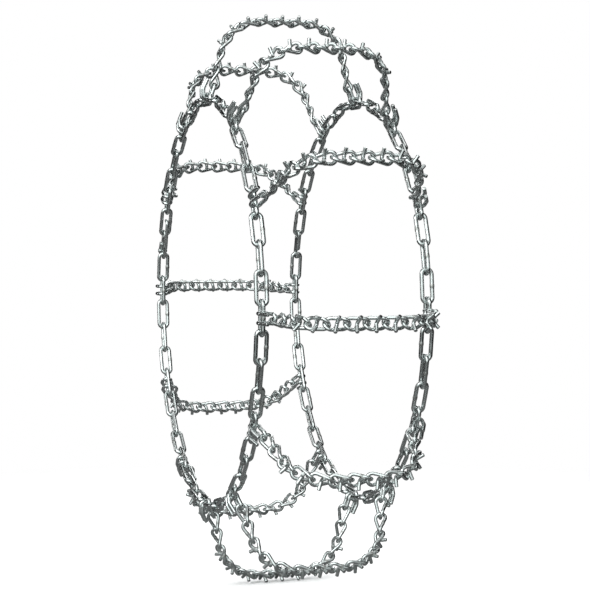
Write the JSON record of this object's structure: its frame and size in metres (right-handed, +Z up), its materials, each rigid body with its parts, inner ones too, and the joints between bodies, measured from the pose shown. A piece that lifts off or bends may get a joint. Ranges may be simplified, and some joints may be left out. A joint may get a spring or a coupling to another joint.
{
  "type": "tyre snow chain",
  "caption": "Truck tyre snow chain in its fitted shape: two side chains joined by hooked cross chains of twisted links with V-bars, closed by a lever fastener.",
  "frame": {"origin": "centre of the wheel that the chain fits, midway between the two side chains", "axes": "+Y along the axle from the outer side, which has the lever fastener, to the inner side; +Z up; +X towards the front of the wheel as seen with the outer side on the left"},
  "size_m": [1.0978, 0.3242, 1.0978],
  "materials": {
    "cross_chain_steel": "bright zinc plating, slightly dulled",
    "v_bar_steel": "bright zinc plating, cut ends and weld beads",
    "hook_steel": "bright zinc plating",
    "side_chain_steel": "bright zinc plating with a weld swell on each link",
    "fastener_steel": "bright zinc plated forging"
  },
  "bodies": {
    "side_chains": {"fastener_body": "fastener_steel", "fastener_pin": "fastener_steel", "inner_end_link": "side_chain_steel", "inner_fastener_hook": "fastener_steel", "inner_side_chain_1": "side_chain_steel", "inner_side_chain_2": "side_chain_steel", "inner_side_chain_3": "side_chain_steel", "inner_side_chain_4": "side_chain_steel", "inner_side_chain_5": "side_chain_steel", "inner_side_chain_6": "side_chain_steel", "outer_end_link": "side_chain_steel", "outer_side_chain_1": "side_chain_steel", "outer_side_chain_2": "side_chain_steel", "outer_side_chain_3": "side_chain_steel", "outer_side_chain_4": "side_chain_steel", "outer_side_chain_5": "side_chain_steel", "outer_side_chain_6": "side_chain_steel"},
    "lever": {"fastener_lever": "fastener_steel"},
    "cross_chain_01": {"cross_chain_01_hooks": "hook_steel", "cross_chain_01_links": "cross_chain_steel", "cross_chain_01_v_bars": "v_bar_steel"},
    "cross_chain_02": {"cross_chain_02_hooks": "hook_steel", "cross_chain_02_links": "cross_chain_steel", "cross_chain_02_v_bars": "v_bar_steel"},
    "cross_chain_03": {"cross_chain_03_hooks": "hook_steel", "cross_chain_03_links": "cross_chain_steel", "cross_chain_03_v_bars": "v_bar_steel"},
    "cross_chain_04": {"cross_chain_04_hooks": "hook_steel", "cross_chain_04_links": "cross_chain_steel", "cross_chain_04_v_bars": "v_bar_steel"},
    "cross_chain_05": {"cross_chain_05_hooks": "hook_steel", "cross_chain_05_links": "cross_chain_steel", "cross_chain_05_v_bars": "v_bar_steel"},
    "cross_chain_06": {"cross_chain_06_hooks": "hook_steel", "cross_chain_06_links": "cross_chain_steel", "cross_chain_06_v_bars": "v_bar_steel"},
    "cross_chain_07": {"cross_chain_07_hooks": "hook_steel", "cross_chain_07_links": "cross_chain_steel", "cross_chain_07_v_bars": "v_bar_steel"},
    "cross_chain_08": {"cross_chain_08_hooks": "hook_steel", "cross_chain_08_links": "cross_chain_steel", "cross_chain_08_v_bars": "v_bar_steel"},
    "cross_chain_09": {"cross_chain_09_hooks": "hook_steel", "cross_chain_09_links": "cross_chain_steel", "cross_chain_09_v_bars": "v_bar_steel"},
    "cross_chain_10": {"cross_chain_10_hooks": "hook_steel", "cross_chain_10_links": "cross_chain_steel", "cross_chain_10_v_bars": "v_bar_steel"},
    "cross_chain_11": {"cross_chain_11_hooks": "hook_steel", "cross_chain_11_links": "cross_chain_steel", "cross_chain_11_v_bars": "v_bar_steel"},
    "cross_chain_12": {"cross_chain_12_hooks": "hook_steel", "cross_chain_12_links": "cross_chain_steel", "cross_chain_12_v_bars": "v_bar_steel"}
  },
  "joints": [
    {"name": "lever_hinge", "type": "hinge", "parent": "side_chains", "child": "lever", "pos_m": [-0.38379, -0.14905, 0.10214], "axis": [0, 1, 0], "range_deg": [0, 110]},
    {"name": "cross_chain_01_swing", "type": "hinge", "parent": "side_chains", "child": "cross_chain_01", "pos_m": [0.39411, 0, -0.01721], "axis": [0, 1, 0], "range_deg": [-5, 5]},
    {"name": "cross_chain_02_swing", "type": "hinge", "parent": "side_chains", "child": "cross_chain_02", "pos_m": [0.34992, 0, 0.18216], "axis": [0, 1, 0], "range_deg": [-5, 5]},
    {"name": "cross_chain_03_swing", "type": "hinge", "parent": "side_chains", "child": "cross_chain_03", "pos_m": [0.21196, 0, 0.33271], "axis": [0, 1, 0], "range_deg": [-5, 5]},
    {"name": "cross_chain_04_swing", "type": "hinge", "parent": "side_chains", "child": "cross_chain_04", "pos_m": [0.01721, 0, 0.39411], "axis": [0, 1, 0], "range_deg": [-5, 5]},
    {"name": "cross_chain_05_swing", "type": "hinge", "parent": "side_chains", "child": "cross_chain_05", "pos_m": [-0.18216, 0, 0.34992], "axis": [0, 1, 0], "range_deg": [-5, 5]},
    {"name": "cross_chain_06_swing", "type": "hinge", "parent": "side_chains", "child": "cross_chain_06", "pos_m": [-0.33271, 0, 0.21196], "axis": [0, 1, 0], "range_deg": [-5, 5]},
    {"name": "cross_chain_07_swing", "type": "hinge", "parent": "side_chains", "child": "cross_chain_07", "pos_m": [-0.39411, 0, 0.01721], "axis": [0, 1, 0], "range_deg": [-5, 5]},
    {"name": "cross_chain_08_swing", "type": "hinge", "parent": "side_chains", "child": "cross_chain_08", "pos_m": [-0.34992, 0, -0.18216], "axis": [0, 1, 0], "range_deg": [-5, 5]},
    {"name": "cross_chain_09_swing", "type": "hinge", "parent": "side_chains", "child": "cross_chain_09", "pos_m": [-0.21196, 0, -0.33271], "axis": [0, 1, 0], "range_deg": [-5, 5]},
    {"name": "cross_chain_10_swing", "type": "hinge", "parent": "side_chains", "child": "cross_chain_10", "pos_m": [-0.01721, 0, -0.39411], "axis": [0, 1, 0], "range_deg": [-5, 5]},
    {"name": "cross_chain_11_swing", "type": "hinge", "parent": "side_chains", "child": "cross_chain_11", "pos_m": [0.18216, 0, -0.34992], "axis": [0, 1, 0], "range_deg": [-5, 5]},
    {"name": "cross_chain_12_swing", "type": "hinge", "parent": "side_chains", "child": "cross_chain_12", "pos_m": [0.33271, 0, -0.21196], "axis": [0, 1, 0], "range_deg": [-5, 5]}
  ]
}
